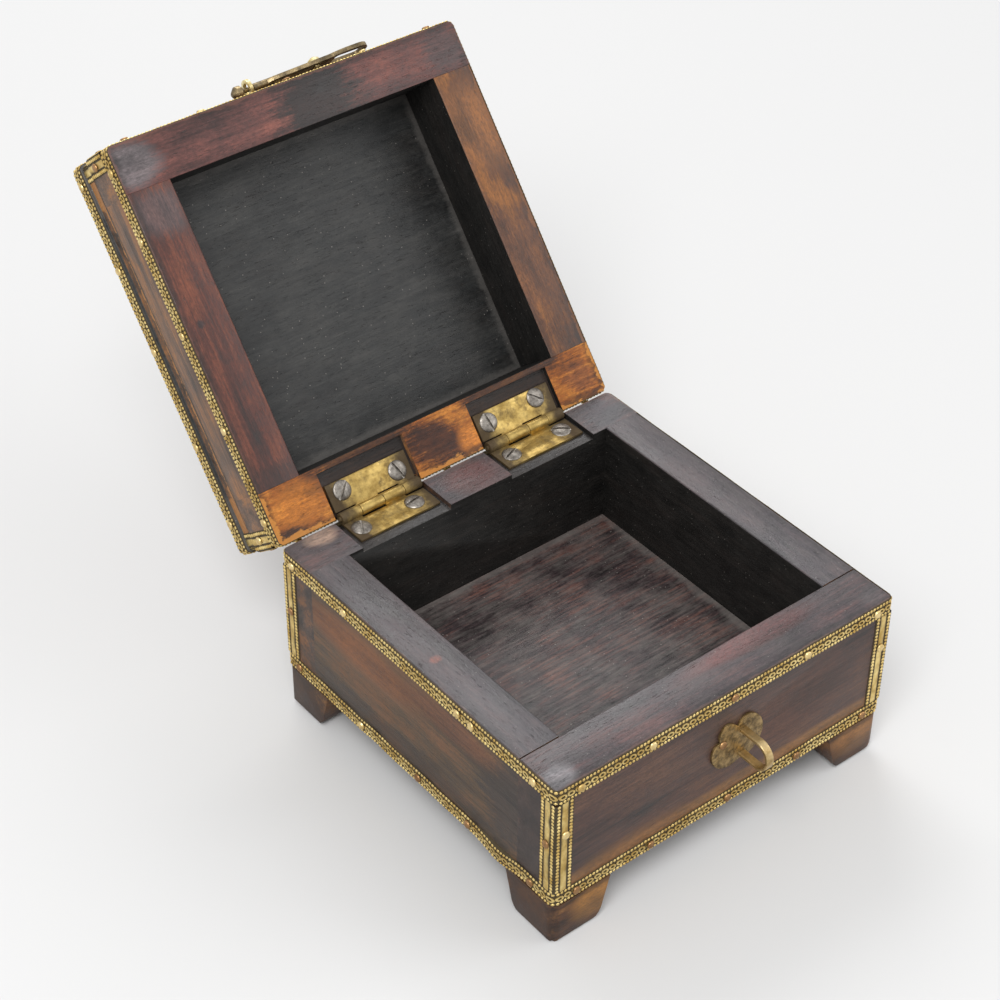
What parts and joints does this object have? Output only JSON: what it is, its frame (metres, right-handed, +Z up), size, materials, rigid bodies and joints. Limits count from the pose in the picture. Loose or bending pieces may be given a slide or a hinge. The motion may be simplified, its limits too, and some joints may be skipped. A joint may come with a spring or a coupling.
{
  "type": "damchiya chest",
  "caption": "Small square wooden chest on bracket feet, with an open hinged lid, stamped brass strips, a swinging hasp on the lid and a staple on the front.",
  "frame": {"origin": "on the floor under the middle of the box, in the plane of the feet's soles", "axes": "+Z up, -Y towards the front with the staple, +X to the right seen from the front"},
  "size_m": [0.1522, 0.2856, 0.1871],
  "materials": {
    "dark_wood": "worn",
    "aged_brass": "aged",
    "screw_steel": "worn"
  },
  "bodies": {
    "chest": {"back_panel": "dark_wood", "body_band_nails": "aged_brass", "body_bottom_band": "aged_brass", "body_hinge_screws": "screw_steel", "body_strip_back_left": "aged_brass", "body_strip_back_right": "aged_brass", "body_strip_front_left": "aged_brass", "body_strip_front_right": "aged_brass", "body_strip_left_left": "aged_brass", "body_strip_left_right": "aged_brass", "body_strip_right_left": "aged_brass", "body_strip_right_right": "aged_brass", "body_top_band": "aged_brass", "floor_board": "dark_wood", "foot_back_left": "dark_wood", "foot_back_right": "dark_wood", "foot_front_left": "dark_wood", "foot_front_right": "dark_wood", "front_panel": "dark_wood", "left_hinge_body_leaf": "aged_brass", "left_hinge_pin": "aged_brass", "left_panel": "dark_wood", "right_hinge_body_leaf": "aged_brass", "right_hinge_pin": "aged_brass", "right_panel": "dark_wood", "staple": "aged_brass", "staple_plate": "aged_brass", "staple_plate_nail": "aged_brass"},
    "lid": {"hasp_plate": "aged_brass", "hasp_plate_nails": "aged_brass", "left_hinge_lid_leaf": "aged_brass", "lid_back_rail": "dark_wood", "lid_band_nails": "aged_brass", "lid_front_rail": "dark_wood", "lid_hinge_screws": "screw_steel", "lid_left_rail": "dark_wood", "lid_right_rail": "dark_wood", "lid_rim_band": "aged_brass", "lid_strip_back_left": "aged_brass", "lid_strip_back_right": "aged_brass", "lid_strip_front_left": "aged_brass", "lid_strip_front_right": "aged_brass", "lid_strip_left_left": "aged_brass", "lid_strip_left_right": "aged_brass", "lid_strip_right_left": "aged_brass", "lid_strip_right_right": "aged_brass", "lid_top_band": "aged_brass", "lid_top_board": "dark_wood", "right_hinge_lid_leaf": "aged_brass"},
    "hasp_eye": {"hasp_eye": "aged_brass"},
    "hasp_strap": {"hasp_strap": "aged_brass", "hasp_boss": "aged_brass"}
  },
  "joints": [
    {"name": "lid_hinge", "type": "hinge", "parent": "chest", "child": "lid", "pos_m": [0, 0.07505, 0.07115], "axis": [1, 0, 0], "range_deg": [0, 129.3]},
    {"name": "hasp_swing", "type": "hinge", "parent": "lid", "child": "hasp_eye", "pos_m": [-0.0073, 0.1839, 0.18022], "axis": [0, -0.6334, -0.7738], "range_deg": [0, 180]},
    {"name": "hasp_lift", "type": "hinge", "parent": "hasp_eye", "child": "hasp_strap", "pos_m": [-0.0117, 0.18365, 0.17991], "axis": [0, -0.7738, 0.6334], "range_deg": [0, 15]}
  ]
}
